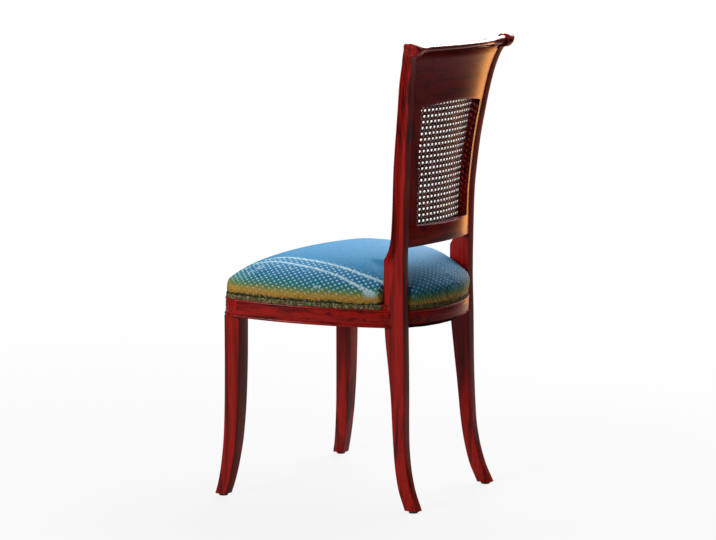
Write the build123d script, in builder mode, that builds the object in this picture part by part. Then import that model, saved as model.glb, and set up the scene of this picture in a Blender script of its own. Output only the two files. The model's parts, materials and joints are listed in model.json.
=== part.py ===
from build123d import *
import math
import os

# Upholstered side chair with a bowed cane back, scroll-topped stiles and sabre legs.
# Millimetres. The chair faces -Y, its left side is +X, and it stands on Z = 0 with the
# origin under the middle of its bounding box.

# Overall sizes
overall_height = 930.0
stile_reach = 243.5

# Rear legs, which run on upwards as the stiles of the back
stile_width = 21.0
scroll_radius = 13.4
scroll_eye_radius = 8.5
scroll_eye_setback = 8.6
scroll_eye_rise = 4.4

# Front legs
front_leg_top = 35.0
front_leg_foot = 25.0
front_leg_x = 209.0
front_leg_y = -169.0
front_foot_out = 14.0
front_foot_kick = 25.0

# Seat frame, built in a plane that rises towards the front
seat_tilt = 1.5
seat_low = 368.0
rail_height = 46.0
rail_thickness = 24.0
rear_rail_raise = 7.0
seat_corner_x = 234.0
seat_corner_y = -181.0
seat_side_x = 211.0
seat_side_y = -6.0
seat_rear_x = 121.0
seat_rear_y = 181.0
seat_bow_rear = 213.0
seat_front_y = -243.65
least_radius = 2.0
seat_corner_radius = 42.0
seat_rear_radius = 18.0
bead_height = 5.0
bead_reach = 2.0
rabbet_height = 10.0
rabbet_depth = 3.6

# Joinery
dowel_diameter = 8.0
dowel_length = 30.0
dowel_gap = 16.0
rear_dowel_slant = 25.0
rear_dowel_x = 133.0
crest_dowel_margin = 30.0
rail_dowel_margin = 12.0
leg_block_depth = 38.0
dowel_clearance = 0.1
block_depth = 16.0
block_height = 30.0
block_lift = 6.0
block_reach = 120.0
front_screw_steps = (-50.0, 17.0)
rear_screw_steps = (-50.0, 35.0)
screw_diameter = 4.0
screw_head_diameter = 8.0
screw_head_height = 3.0
screw_length = 34.0

# Back panel
back_bow = 22.0
back_thickness = 20.0
back_setback = 1.0
slab_steps = 7
crest_bottom = 796.0
crest_arch = 11.5
crest_top = 921.0
crest_roll_radius = 5.5
lower_rail_bottom = 523.0
lower_rail_top = 567.0
lower_rail_waist = 3.0
side_member_width = 21.0
rebate_width = 7.0
rebate_depth = 6.0
spline_width = 5.0
roll_inset = 3.0
cane_thickness = 2.0
cane_rows = 20
cane_columns = 15
cane_edge = 4.0
cane_hole_share = 0.56

# Upholstery
strap_width = 48.0
strap_thickness = 1.5
strap_pitch = 84.0
cross_strap_pitch = 75.0
cross_strap_first = -130.0
cross_strap_count = 4
strap_count = 3
strap_landing = 16.0
tack_head_radius = 4.0
tack_head_height = 0.8
tack_shank_radius = 1.0
tack_length = 12.0
tack_spread = 14.0
tack_inset = 15.0
cushion_height = 94.0
cushion_bulge = 4.0
cushion_slope = 4.0
cushion_crown_y = 20.0
cushion_corner_growth = 30.0
cover_thickness = 1.6
gimp_height = 9.0
gimp_thickness = 1.9
skirt_inset = 2.0
dust_cover_thickness = 0.8
dust_cover_inset = 10.0
dust_cover_notch = 1.0
soft_gap = 0.3
leg_swell = 0.3

# Glides under the four feet
glide_radius = 9.0
glide_height = 4.0
glide_pin_radius = 1.2
glide_pin_length = 14.0

# One overrun serves every cut
overrun = 5.0

far = overall_height
scroll_y = stile_reach - scroll_radius
scroll_z = overall_height - scroll_radius
eye_y = scroll_y - scroll_eye_setback
eye_z = scroll_z + scroll_eye_rise

# Shape of the rear leg and stile, seen from the side, as shares of the overall height and
# of how far back the stiles reach
rear_edge_shares = (
    (0.0043, 0.919), (0.051, 0.842), (0.102, 0.794), (0.151, 0.7715), (0.258, 0.759),
    (0.388, 0.750), (0.485, 0.740), (0.612, 0.746), (0.665, 0.752), (0.708, 0.765),
    (0.772, 0.786), (0.837, 0.819), (0.890, 0.848), (0.920, 0.868), (0.948, 0.8945), (0.965, 0.914),
)
leg_front_shares = (
    (0.0043, 0.802), (0.051, 0.728), (0.102, 0.685), (0.151, 0.661), (0.237, 0.632),
    (0.311, 0.600), (0.375, 0.572), (0.452, 0.560),
)
stile_front_shares = (
    (0.5344, 0.560), (0.5455, 0.581), (0.559, 0.605), (0.581, 0.624), (0.634, 0.638),
    (0.708, 0.6515), (0.772, 0.678), (0.837, 0.7155), (0.890, 0.750), (0.921, 0.7755),
    (0.964, 0.830), (0.976, 0.850), (0.988, 0.8735),
)

# Centre line of the rear leg and stile, seen from the front, as shares of the overall
# height and of the stile's half spacing at the seat
stile_spacing = 260.0
stile_spread_shares = (
    (0.0043, 1.122), (0.08, 1.075), (0.153, 1.037), (0.306, 1.0), (0.45, 1.0), (0.60, 1.0),
    (0.69, 1.012), (0.7755, 1.060), (0.856, 1.130), (0.918, 1.213), (0.948, 1.268), (0.966, 1.325),
    (1.0, 1.455),
)


def along(shares, height):
    """Reads a table of shares at a height, by straight steps, and returns the share."""
    level = height / overall_height
    for (low, first), (high, second) in zip(shares, shares[1:]):
        if level <= high:
            break
    step = min(max((level - low) / (high - low), 0), 1)
    return first + (second - first) * step


def stile_rear(height):
    """Where the rear edge of the stile is at a height."""
    return along(rear_edge_shares, height) * stile_reach


def stile_centre(height):
    """Half the spacing of the two stiles at a height."""
    return along(stile_spread_shares, height) * stile_spacing / 2


def side_points(shares):
    """Outline points in the side view."""
    return [(reach * stile_reach, level * overall_height) for level, reach in shares]


def front_points(offset):
    """Outline points of a line beside the stile's centre line, in the front view."""
    half = stile_spacing / 2
    return [(share * half + offset, level * overall_height) for level, share in stile_spread_shares]


seat_plane = Plane(
    origin=(0, 0, seat_low),
    x_dir=(1, 0, 0),
    z_dir=(0, math.sin(math.radians(seat_tilt)), math.cos(math.radians(seat_tilt))),
)


def seat_rise(reach):
    """Height of the seat frame's underside at a distance from front to back."""
    return seat_low - reach * math.tan(math.radians(seat_tilt))


def seat_face(grow=0.0, share=1.0, rounder=0.0):
    """The seat's outline as a face: the frame's own, grown by a length and scaled by a share.

    It shrinks towards the cushion's crown, and its front corners can be made rounder.
    """

    def place(x, y):
        return (x * share, cushion_crown_y + (y - cushion_crown_y) * share)

    front_left = place(seat_corner_x + grow, seat_corner_y - grow)
    front_right = (-front_left[0], front_left[1])
    rear_left = place(seat_rear_x + grow, seat_rear_y + grow)
    rear_right = (-rear_left[0], rear_left[1])
    side_left = place(seat_side_x + grow, seat_side_y)
    side_right = (-side_left[0], side_left[1])
    with BuildSketch() as face:
        with BuildLine():
            ThreePointArc(front_right, place(0, seat_front_y - grow), front_left)
            ThreePointArc(front_left, side_left, rear_left)
            ThreePointArc(rear_left, place(0, seat_bow_rear + grow), rear_right)
            ThreePointArc(rear_right, side_right, front_right)
        make_face()
        front_radius = seat_corner_radius + grow + rounder
        rear_radius = max(seat_rear_radius + grow, least_radius)
        fillet(face.vertices().group_by(Axis.Y)[0], radius=front_radius * share)
        fillet(face.vertices().group_by(Axis.Y)[-1], radius=rear_radius * share)
    return face.sketch


def bowed_slab(inset, thickness):
    """A bowed and flared slab of the back, from under the lower rail to the crest's top edge.

    Its rear face is an inset from the rear edges of the stiles, and it reaches into both.
    """
    low = lower_rail_bottom - overrun
    high = crest_top
    half_width = stile_centre(high)
    with BuildPart() as slab:
        for step in range(slab_steps + 1):
            height = low + (high - low) * step / slab_steps
            inner = stile_centre(height) - stile_width / 2
            crown = stile_rear(height) - back_setback - inset + back_bow
            edge = crown - back_bow * (half_width / inner) ** 2
            left_front = (half_width, edge - thickness)
            right_front = (-half_width, edge - thickness)
            with BuildSketch(Plane.XY.offset(height)):
                with BuildLine():
                    rear_arc = ThreePointArc((-half_width, edge), (0, crown), (half_width, edge))
                    front_arc = ThreePointArc(left_front, (0, crown - thickness), right_front)
                    Line(rear_arc @ 1, front_arc @ 0)
                    Line(front_arc @ 1, rear_arc @ 0)
                make_face()
        loft()
    return slab.part


def depth_cut(view):
    """Extrudes a front-view face through the whole depth of the chair."""
    with BuildPart() as cut:
        with BuildSketch(Plane.XZ):
            add(view)
        extrude(amount=far, both=True)
    return cut.part


def rods(places, radius, length):
    """Round rods centred on places, each place a point and a direction."""
    with BuildPart() as group:
        for point, direction in places:
            with BuildSketch(Plane(origin=point, z_dir=direction)):
                Circle(radius)
            extrude(amount=length / 2, both=True)
    return group.part


def both_sides(places):
    """Adds the mirror image, across the chair's middle, of each place."""
    return places + [((-x, y, z), (-way_x, way_y, way_z)) for (x, y, z), (way_x, way_y, way_z) in places]


# Joint lines of the seat frame
block_inner_x = front_leg_x - front_leg_top / 2
block_rear_y = front_leg_y + front_leg_top / 2
leg_inner_x = stile_spacing / 2 - stile_width / 2
leg_front_y = leg_front_shares[-1][1] * stile_reach
leg_rear_y = rear_edge_shares[5][1] * stile_reach
show_height = rail_height - rabbet_height
band_middle = rail_thickness / 2

# Dowels: in pairs, one above the other, across every joint of the seat frame
rail_heights = (rail_height / 2 - dowel_gap / 2, rail_height / 2 + dowel_gap / 2)
front_joint_y = block_rear_y - leg_block_depth
side_joint_x = front_leg_x + band_middle
rear_joint_y = leg_rear_y - band_middle
slant = math.radians(rear_dowel_slant)
rear_dowel_way = (-math.sin(slant), math.cos(slant), 0)
seat_dowel_places = []
for lift in rail_heights:
    seat_dowel_places += [
        ((block_inner_x, front_joint_y, seat_rise(front_joint_y) + lift), (1, 0, 0)),
        ((side_joint_x, block_rear_y, seat_rise(block_rear_y) + lift), (0, 1, 0)),
        ((rear_dowel_x, leg_front_y, seat_rise(leg_front_y) + lift), rear_dowel_way),
        ((leg_inner_x, rear_joint_y, seat_rise(rear_joint_y) + lift), (1, 0, 0)),
    ]
seat_dowel_places = both_sides(seat_dowel_places)

crest_dowel_low = crest_bottom + crest_dowel_margin
crest_dowel_high = crest_top - crest_dowel_margin
rail_dowel_low = lower_rail_bottom + rail_dowel_margin
rail_dowel_high = lower_rail_top - rail_dowel_margin
back_dowel_places = []
for height in (crest_dowel_low, crest_dowel_high, rail_dowel_low, rail_dowel_high):
    reach = stile_rear(height) - back_setback - back_thickness / 2
    back_dowel_places.append(((stile_centre(height) - stile_width / 2, reach, height), (1, 0, 0)))
back_dowel_places = both_sides(back_dowel_places)

with BuildPart() as seat_dowels:
    add(rods(seat_dowel_places, dowel_diameter / 2, dowel_length))
with BuildPart() as back_dowels:
    add(rods(back_dowel_places, dowel_diameter / 2, dowel_length))
with BuildPart() as dowel_holes:
    dowel_places = seat_dowel_places + back_dowel_places
    add(rods(dowel_places, dowel_diameter / 2 + dowel_clearance, dowel_length + dowel_clearance))

# Glides, each with a pin that is driven up into the foot
rear_foot_y = (rear_edge_shares[0][1] + leg_front_shares[0][1]) / 2 * stile_reach
glide_points = both_sides([
    ((front_leg_x + front_foot_out, front_leg_y - front_foot_kick, 0), (0, 0, 1)),
    ((stile_centre(glide_height), rear_foot_y, 0), (0, 0, 1)),
])


def glide_set(disc_radius, pin_radius, pin_length):
    """The four glides, or with other sizes the holes for their pins."""
    with BuildPart() as group:
        for point, _ in glide_points:
            with BuildSketch(Plane(origin=point)):
                Circle(disc_radius)
            extrude(amount=glide_height)
            with BuildSketch(Plane(origin=point).offset(glide_height)):
                Circle(pin_radius)
            extrude(amount=pin_length)
    return group.part


with BuildPart() as foot_glides:
    add(glide_set(glide_radius, glide_pin_radius, glide_pin_length))
with BuildPart() as glide_holes:
    pin_hole_radius = glide_pin_radius + dowel_clearance
    add(glide_set(glide_radius, pin_hole_radius, glide_pin_length + dowel_clearance))


def seat_solid(low):
    """The seat frame's outer form as one solid, with its bead and rabbet."""
    with BuildPart() as solid:
        for grow, bottom, top in (
            (bead_reach, low, low + bead_height),
            (0, low, show_height),
            (-rabbet_depth, low, rail_height),
        ):
            with BuildSketch(seat_plane.offset(bottom)):
                add(seat_face(grow))
            extrude(amount=top - bottom)
    return solid.part


def seat_core(low, high, inset):
    """A slice of the seat, as wide as its outline less an inset."""
    with BuildPart() as core:
        with BuildSketch(seat_plane.offset(low)):
            add(seat_face(-inset))
        extrude(amount=high - low)
    return core.part


def upright(points):
    """An upright prism over plan points, through the whole height of the chair."""
    with BuildPart() as prism:
        with BuildSketch():
            Polygon(*points, align=None)
        extrude(amount=overall_height)
    return prism.part


def span(low_x, low_y, high_x, high_y):
    """Corner points of a rectangle in plan."""
    return ((low_x, low_y), (high_x, low_y), (high_x, high_y), (low_x, high_y))


# Corner blocks are cut off along a diagonal, and two screws go through each
front_point = (block_inner_x - block_depth, block_rear_y + block_depth)
rear_point = (leg_inner_x - block_depth, leg_front_y - block_depth)
diagonal = math.sqrt(1 / 2)
block_core = seat_core(block_lift, block_lift + block_height, rail_thickness)


def slanted(point, turn):
    """A triangle in plan beyond a diagonal line through a point, towards the front or the rear."""
    x, y = point
    low, high = y + turn * block_reach, y - turn * block_reach
    return ((x - block_reach, low), (x + block_reach, high), (x + block_reach, low))


screw_places = []
for point, turn, steps in ((front_point, -1, front_screw_steps), (rear_point, 1, rear_screw_steps)):
    for step in steps:
        start = (point[0] + step, point[1] - turn * step, block_lift + block_height / 2)
        screw_places.append((start, (diagonal, turn * diagonal, 0)))
screw_places = both_sides(screw_places)


def screw_set(clearance):
    """All the corner blocks' screws, or with a clearance the holes for them."""
    with BuildPart() as group:
        for point, direction in screw_places:
            for radius, length in (
                (screw_head_diameter / 2, screw_head_height),
                (screw_diameter / 2, screw_length),
            ):
                with BuildSketch(Plane(origin=point, z_dir=direction)):
                    Circle(radius + clearance)
                extrude(amount=length + clearance)
    return seat_plane.location * group.part


with BuildPart() as corner_block_screws:
    add(screw_set(0))
with BuildPart() as screw_holes:
    add(screw_set(dowel_clearance))

# Webbing lies on the rails in two layers with folded ends, and tacks hold it
strap_rows = [cross_strap_first + cross_strap_pitch * step for step in range(cross_strap_count)]
strap_columns = [strap_pitch * (step - (strap_count - 1) / 2) for step in range(strap_count)]
strap_edge = rail_thickness - strap_landing


def strap_set(gap):
    """Both layers of webbing and their folded ends, or with a gap the room they need."""
    first = rail_height - gap
    middle = rail_height + strap_thickness
    last = middle + strap_thickness + gap
    half_width = strap_width / 2 + gap
    lengthwise = [span(x - half_width, -far, x + half_width, far) for x in strap_columns]
    crosswise = [span(-far, y - half_width, far, y + half_width) for y in strap_rows]
    with BuildPart() as group:
        for outlines, low, high, fold_low, fold_high in (
            (lengthwise, first, middle, middle, last),
            (crosswise, middle, last, first, middle),
        ):
            for outline in outlines:
                with BuildSketch(seat_plane.offset(low)):
                    Polygon(*outline, align=None)
                    add(seat_face(gap - strap_edge), mode=Mode.INTERSECT)
                extrude(amount=high - low)
                with BuildSketch(seat_plane.offset(fold_low)):
                    Polygon(*outline, align=None)
                    add(seat_face(gap - strap_edge), mode=Mode.INTERSECT)
                    add(seat_face(-rail_thickness), mode=Mode.SUBTRACT)
                extrude(amount=fold_high - fold_low)
    return group.part


def tack_points():
    """Plan points of the tacks: where lines beside each strap's middle cross a line inside the outline."""
    outline = seat_face(-tack_inset).face().outer_wire()
    points = []
    for shift in (-tack_spread, tack_spread):
        lines = [Edge.make_line((x + shift, -far), (x + shift, far)) for x in strap_columns]
        lines += [Edge.make_line((-far, y + shift), (far, y + shift)) for y in strap_rows]
        for line in lines:
            for edge in outline.edges():
                points += [vertex.center() for vertex in edge.find_intersection_points(line)]
    return points


tack_plan = tack_points()
strap_top = rail_height + strap_thickness * 2


def tack_set(gap, head_gap):
    """The tacks' heads and shanks, or with gaps the room they need."""
    with BuildPart() as group:
        for radius, low, high in (
            (tack_head_radius + head_gap, strap_top - head_gap, strap_top + tack_head_height + head_gap),
            (tack_shank_radius + gap, strap_top - tack_length, strap_top),
        ):
            with BuildSketch(seat_plane.offset(low)):
                for point in tack_plan:
                    with Locations((point.X, point.Y)):
                        Circle(radius)
            extrude(amount=high - low)
    return group.part


with BuildPart() as webbing_tacks:
    add(tack_set(0, 0))
with BuildPart() as tack_holes:
    add(tack_set(dowel_clearance, 0))

# Rear legs with their stiles and scrolls
with BuildPart() as rear_leg_left:
    with BuildSketch(Plane.YZ):
        with BuildLine():
            rear_line = Spline(side_points(rear_edge_shares))
            upper_line = Spline(side_points(stile_front_shares))
            lower_line = Spline(side_points(leg_front_shares))
            Polyline(rear_line @ 1, (scroll_y, scroll_z), (eye_y, eye_z), upper_line @ 1)
            Line(upper_line @ 0, lower_line @ 1)
            Line(lower_line @ 0, rear_line @ 0)
        make_face()
        with Locations((scroll_y, scroll_z)):
            Circle(scroll_radius)
        with Locations((eye_y, eye_z)):
            Circle(scroll_eye_radius)
    extrude(amount=overall_height / 2)
    with BuildSketch(Plane.XZ):
        with BuildLine():
            inner_line = Spline(front_points(-stile_width / 2))
            outer_line = Spline(front_points(stile_width / 2))
            Line(inner_line @ 0, outer_line @ 0)
            Line(inner_line @ 1, outer_line @ 1)
        make_face()
    extrude(amount=far, both=True, mode=Mode.INTERSECT)
    leg_blank = rear_leg_left.part
    add(dowel_holes.part, mode=Mode.SUBTRACT)
    add(glide_holes.part, mode=Mode.SUBTRACT)
with BuildPart() as leg_blanks:
    add(leg_blank)
    mirror(leg_blank, about=Plane.YZ)

# Seat frame. The front leg's table holds shares of its height, of the foot's kick and of its taper
leg_shares = (
    (0.0109, 1.0, 0.0), (0.08, 0.74, 0.1), (0.18, 0.48, 0.3), (0.34, 0.22, 0.58), (0.56, 0.07, 0.84),
    (0.8, 0.01, 0.97), (1.0, 0.0, 1.0),
)

corner_zone = upright(span(block_inner_x, -far, far, block_rear_y))
front_zone = upright(span(-block_inner_x, -far, block_inner_x, block_rear_y))
side_zone = upright(span(leg_inner_x, block_rear_y, far, leg_rear_y - block_depth))
rear_zone = upright(span(-leg_inner_x - leg_swell, leg_front_y + block_depth, leg_inner_x + leg_swell, far))
seat_outside = seat_solid(0)
seat_inside = seat_core(-overrun, rail_height + overrun, rail_thickness)

with BuildPart() as leg_block:
    add(seat_outside)
    add(corner_zone, mode=Mode.INTERSECT)

with BuildPart() as front_leg_left:
    for level, kick, thick in leg_shares:
        side = front_leg_foot + (front_leg_top - front_leg_foot) * thick
        height = level * (seat_rise(front_leg_y) + overrun)
        with BuildSketch(Plane.XY.offset(height)):
            with Locations((front_leg_x + front_foot_out * kick, front_leg_y - front_foot_kick * kick)):
                Rectangle(side, side)
    loft()
    with BuildSketch(seat_plane):
        Rectangle(far * 2, far * 2)
    extrude(amount=rail_height, mode=Mode.SUBTRACT)
    add(leg_block.part)
    for holes in (dowel_holes, glide_holes, tack_holes):
        add(holes.part, mode=Mode.SUBTRACT)


with BuildPart() as seat_rail_front:
    add(seat_outside)
    add(seat_inside, mode=Mode.SUBTRACT)
    add(front_zone, mode=Mode.INTERSECT)
    for holes in (dowel_holes, screw_holes, tack_holes):
        add(holes.part, mode=Mode.SUBTRACT)

with BuildPart() as seat_rail_left:
    add(seat_outside)
    add(seat_inside, mode=Mode.SUBTRACT)
    add(side_zone, mode=Mode.INTERSECT)
    add(leg_blank, mode=Mode.SUBTRACT)
    for holes in (dowel_holes, screw_holes, tack_holes):
        add(holes.part, mode=Mode.SUBTRACT)

with BuildPart() as seat_rail_rear:
    add(seat_solid(rear_rail_raise))
    add(seat_inside, mode=Mode.SUBTRACT)
    add(rear_zone, mode=Mode.INTERSECT)
    add(leg_blanks.part, mode=Mode.SUBTRACT)
    for holes in (dowel_holes, screw_holes, tack_holes):
        add(holes.part, mode=Mode.SUBTRACT)


# Corner blocks
with BuildPart() as corner_block_front_left:
    add(block_core)
    add(upright(slanted(front_point, -1)), mode=Mode.INTERSECT)
    add(corner_zone, mode=Mode.SUBTRACT)
    add(screw_holes.part, mode=Mode.SUBTRACT)

with BuildPart() as corner_block_rear_left:
    add(block_core)
    add(upright(slanted(rear_point, 1)), mode=Mode.INTERSECT)
    add(leg_blank, mode=Mode.SUBTRACT)
    add(screw_holes.part, mode=Mode.SUBTRACT)

# Back panel, cut from one bowed slab so that its pieces meet face to face
outer_x = stile_centre(crest_top)
arch_x = stile_centre(crest_bottom) - stile_width / 2
rail_x = stile_spacing / 2 - stile_width / 2
rail_middle = (lower_rail_bottom + lower_rail_top) / 2


def crest_view(lift=0.0):
    """Front view of the crest rail, with its arched underside lifted."""
    low = crest_bottom + lift
    with BuildSketch() as view:
        with BuildLine():
            arch = ThreePointArc((-arch_x, low), (0, low + crest_arch), (arch_x, low))
            Line(arch @ 1, (outer_x, low))
            Polyline((outer_x, low), (outer_x, crest_top), (-outer_x, crest_top), (-outer_x, low))
            Line((-outer_x, low), arch @ 0)
        make_face()
    return view.sketch


def rail_view(drop=0.0):
    """Front view of the lower back rail, with its waisted top edge dropped."""
    low = lower_rail_bottom
    high = lower_rail_top - drop
    with BuildSketch() as view:
        with BuildLine():
            upper = ThreePointArc((-rail_x, high), (0, high - lower_rail_waist), (rail_x, high))
            lower = ThreePointArc((rail_x, low), (0, low + lower_rail_waist), (-rail_x, low))
            Line(upper @ 1, lower @ 0)
            Line(lower @ 1, upper @ 0)
        make_face()
    return view.sketch


def band_view(shift):
    """Front view of everything between two lines that run beside the stiles' centre lines."""
    edge = front_points(shift)
    with BuildSketch() as view:
        with BuildLine():
            left = Spline(edge)
            right = Spline([(-x, z) for x, z in edge])
            Line(left @ 0, right @ 0)
            Line(left @ 1, right @ 1)
        make_face()
    return view.sketch


def opening_view(grow=0.0):
    """Front view of the opening that the cane fills, grown on every side."""
    top = crest_bottom + crest_arch + overrun + grow
    with BuildSketch() as view:
        add(band_view(grow - stile_width / 2 - side_member_width))
        with Locations((0, rail_middle)):
            Rectangle(outer_x * 2, top - rail_middle, align=(Align.CENTER, Align.MIN), mode=Mode.INTERSECT)
        add(crest_view(grow), mode=Mode.SUBTRACT)
        add(rail_view(grow), mode=Mode.SUBTRACT)
    return view.sketch


def member_view():
    """Front view of the two side members between the rails."""
    with BuildSketch() as view:
        with Locations((0, rail_middle)):
            Rectangle(outer_x * 2, crest_bottom - rail_middle + overrun, align=(Align.CENTER, Align.MIN))
        for part_view in (crest_view(), rail_view(), opening_view()):
            add(part_view, mode=Mode.SUBTRACT)
    return view.sketch


with BuildPart() as slab_whole:
    add(bowed_slab(0, back_thickness))
    add(depth_cut(band_view(0)), mode=Mode.INTERSECT)
with BuildPart() as rebate:
    add(bowed_slab(back_thickness - rebate_depth, rebate_depth + overrun))
    add(depth_cut(opening_view(rebate_width)), mode=Mode.INTERSECT)

roll_height = crest_top - crest_roll_radius
roll_crown = stile_rear(roll_height) - back_setback + back_bow - roll_inset
roll_x = stile_centre(roll_height)
roll_end = roll_crown - back_bow * (roll_x / (roll_x - stile_width / 2)) ** 2
with BuildPart() as crest_rail:
    add(slab_whole.part)
    add(depth_cut(crest_view()), mode=Mode.INTERSECT)
    with BuildLine():
        roll_line = ThreePointArc(
            (-roll_x, roll_end, roll_height), (0, roll_crown, roll_height), (roll_x, roll_end, roll_height)
        )
    with BuildSketch(Plane(origin=roll_line @ 0, z_dir=roll_line % 0)):
        Circle(crest_roll_radius)
    sweep()
    add(leg_blanks.part, mode=Mode.SUBTRACT)
    add(rebate.part, mode=Mode.SUBTRACT)
    add(dowel_holes.part, mode=Mode.SUBTRACT)

with BuildPart() as lower_back_rail:
    add(slab_whole.part)
    add(depth_cut(rail_view()), mode=Mode.INTERSECT)
    add(leg_blanks.part, mode=Mode.SUBTRACT)
    add(rebate.part, mode=Mode.SUBTRACT)
    add(dowel_holes.part, mode=Mode.SUBTRACT)

with BuildPart() as back_side_member_left:
    add(slab_whole.part)
    add(depth_cut(member_view()), mode=Mode.INTERSECT)
    add(upright(span(0, -far, far, far)), mode=Mode.INTERSECT)
    add(leg_blanks.part, mode=Mode.SUBTRACT)
    add(rebate.part, mode=Mode.SUBTRACT)


def cane_holes():
    """Front view of the holes between the strands of the cane."""
    pitch = (crest_bottom - lower_rail_top) / cane_rows
    with BuildSketch() as holes:
        for row in range(cane_rows):
            height = lower_rail_top + pitch * (row + 1 / 2)
            half = stile_centre(height) - stile_width / 2 - side_member_width - cane_edge
            step = half * 2 / cane_columns
            for column in range(cane_columns):
                with Locations((step * (column + 1 / 2) - half, height)):
                    Rectangle(step * cane_hole_share, pitch * cane_hole_share)
    return holes.sketch


with BuildPart() as cane_panel:
    add(bowed_slab(back_thickness - rebate_depth, cane_thickness))
    with BuildSketch() as net:
        add(opening_view(rebate_width))
        add(cane_holes(), mode=Mode.SUBTRACT)
    add(depth_cut(net.sketch), mode=Mode.INTERSECT)

with BuildPart() as cane_spline:
    add(bowed_slab(back_thickness - rebate_depth + cane_thickness, rebate_depth - cane_thickness))
    with BuildSketch() as rim:
        add(opening_view(rebate_width))
        add(opening_view(rebate_width - spline_width), mode=Mode.SUBTRACT)
    add(depth_cut(rim.sketch), mode=Mode.INTERSECT)


# Webbing
with BuildPart() as seat_webbing:
    add(strap_set(0))
    add(tack_holes.part, mode=Mode.SUBTRACT)

# Cushion: crowned foam inside a fitted cover, both notched round the stiles. Its table holds shares
# of its height and slope, of its bulge, of its outline and of how much rounder its corners grow
cushion_shares = (
    (0.0, 0.0, 1.0, 0.0), (0.045, 0.36, 1.0, 0.36), (0.125, 0.78, 1.0, 0.78), (0.23, 1.0, 1.0, 1.0),
    (0.335, 0.86, 0.98, 1.0), (0.46, 0.2, 0.92, 1.0), (0.61, 0.0, 0.82, 1.0), (0.77, 0.0, 0.67, 1.0),
    (0.885, 0.0, 0.5, 1.0), (0.96, 0.0, 0.32, 1.0), (1.0, 0.0, 0.13, 1.0),
)


def cushion_solid(grow, gap):
    """The cushion's crowned form, grown by a length and notched clear of the stiles by a gap."""
    with BuildPart() as solid:
        for level, bulge, plan, rounder in cushion_shares:
            layer = seat_plane.offset(rail_height + level * (cushion_height + grow))
            with BuildSketch(layer.rotated((cushion_slope * level, 0, 0))):
                out = grow - skirt_inset + (cushion_bulge + skirt_inset) * bulge
                add(seat_face(out, plan, cushion_corner_growth * rounder))
        loft()
        add(stile_notch(gap), mode=Mode.SUBTRACT)
    return solid.part


def stile_notch(gap):
    """What a sheet or cushion leaves free round the two stiles."""
    gap = gap + leg_swell
    notch = span(leg_inner_x - gap, leg_front_y - gap, far, leg_rear_y + gap)
    with BuildPart() as pair:
        add(upright(notch))
        mirror(about=Plane.YZ)
    return pair.part


def band(outer, inner, low, high):
    """A level band round the seat between two insets of its outline, notched round the stiles."""
    with BuildPart() as ring:
        with BuildSketch(seat_plane.offset(low)):
            add(seat_face(-outer))
            add(seat_face(-inner), mode=Mode.SUBTRACT)
        extrude(amount=high - low)
        add(stile_notch(soft_gap), mode=Mode.SUBTRACT)
    return ring.part


with BuildPart() as seat_cover:
    add(cushion_solid(0, soft_gap))
    add(cushion_solid(-cover_thickness, soft_gap + cover_thickness), mode=Mode.SUBTRACT)
    add(band(skirt_inset, skirt_inset + cover_thickness, show_height, rail_height))

with BuildPart() as seat_foam:
    add(cushion_solid(-cover_thickness - soft_gap, soft_gap * 2 + cover_thickness))
    add(strap_set(soft_gap), mode=Mode.SUBTRACT)
    add(tack_set(0, soft_gap), mode=Mode.SUBTRACT)

with BuildPart() as gimp_braid:
    gimp_inset = skirt_inset - soft_gap
    add(band(gimp_inset - gimp_thickness, gimp_inset, show_height, show_height + gimp_height))

# Dust cover under the rails, notched round all four legs
with BuildPart() as dust_cover:
    add(seat_core(-dust_cover_thickness, 0, dust_cover_inset))
    add(stile_notch(dust_cover_notch), mode=Mode.SUBTRACT)
    with BuildSketch():
        with Locations((front_leg_x, front_leg_y), (-front_leg_x, front_leg_y)):
            Rectangle(front_leg_top + dust_cover_notch * 2, front_leg_top + dust_cover_notch * 2)
    extrude(amount=overall_height, mode=Mode.SUBTRACT)

# Right-hand pieces mirror the left-hand ones
with BuildPart() as rear_leg_right:
    mirror(rear_leg_left.part, about=Plane.YZ)
with BuildPart() as front_leg_right:
    mirror(front_leg_left.part, about=Plane.YZ)
with BuildPart() as seat_rail_right:
    mirror(seat_rail_left.part, about=Plane.YZ)
with BuildPart() as corner_block_front_right:
    mirror(corner_block_front_left.part, about=Plane.YZ)
with BuildPart() as corner_block_rear_right:
    mirror(corner_block_rear_left.part, about=Plane.YZ)
with BuildPart() as back_side_member_right:
    mirror(back_side_member_left.part, about=Plane.YZ)

os.makedirs("parts", exist_ok=True)

rear_leg_left.part.label = "rear_leg_left"
export_step(rear_leg_left.part, "parts/rear_leg_left.step")

rear_leg_right.part.label = "rear_leg_right"
export_step(rear_leg_right.part, "parts/rear_leg_right.step")

front_leg_left.part.label = "front_leg_left"
export_step(front_leg_left.part, "parts/front_leg_left.step")

front_leg_right.part.label = "front_leg_right"
export_step(front_leg_right.part, "parts/front_leg_right.step")

seat_rail_front.part.label = "seat_rail_front"
export_step(seat_rail_front.part, "parts/seat_rail_front.step")

seat_rail_left.part.label = "seat_rail_left"
export_step(seat_rail_left.part, "parts/seat_rail_left.step")

seat_rail_right.part.label = "seat_rail_right"
export_step(seat_rail_right.part, "parts/seat_rail_right.step")

seat_rail_rear.part.label = "seat_rail_rear"
export_step(seat_rail_rear.part, "parts/seat_rail_rear.step")

corner_block_front_left.part.label = "corner_block_front_left"
export_step(corner_block_front_left.part, "parts/corner_block_front_left.step")

corner_block_front_right.part.label = "corner_block_front_right"
export_step(corner_block_front_right.part, "parts/corner_block_front_right.step")

corner_block_rear_left.part.label = "corner_block_rear_left"
export_step(corner_block_rear_left.part, "parts/corner_block_rear_left.step")

corner_block_rear_right.part.label = "corner_block_rear_right"
export_step(corner_block_rear_right.part, "parts/corner_block_rear_right.step")

corner_block_screws.part.label = "corner_block_screws"
export_step(corner_block_screws.part, "parts/corner_block_screws.step")

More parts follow.
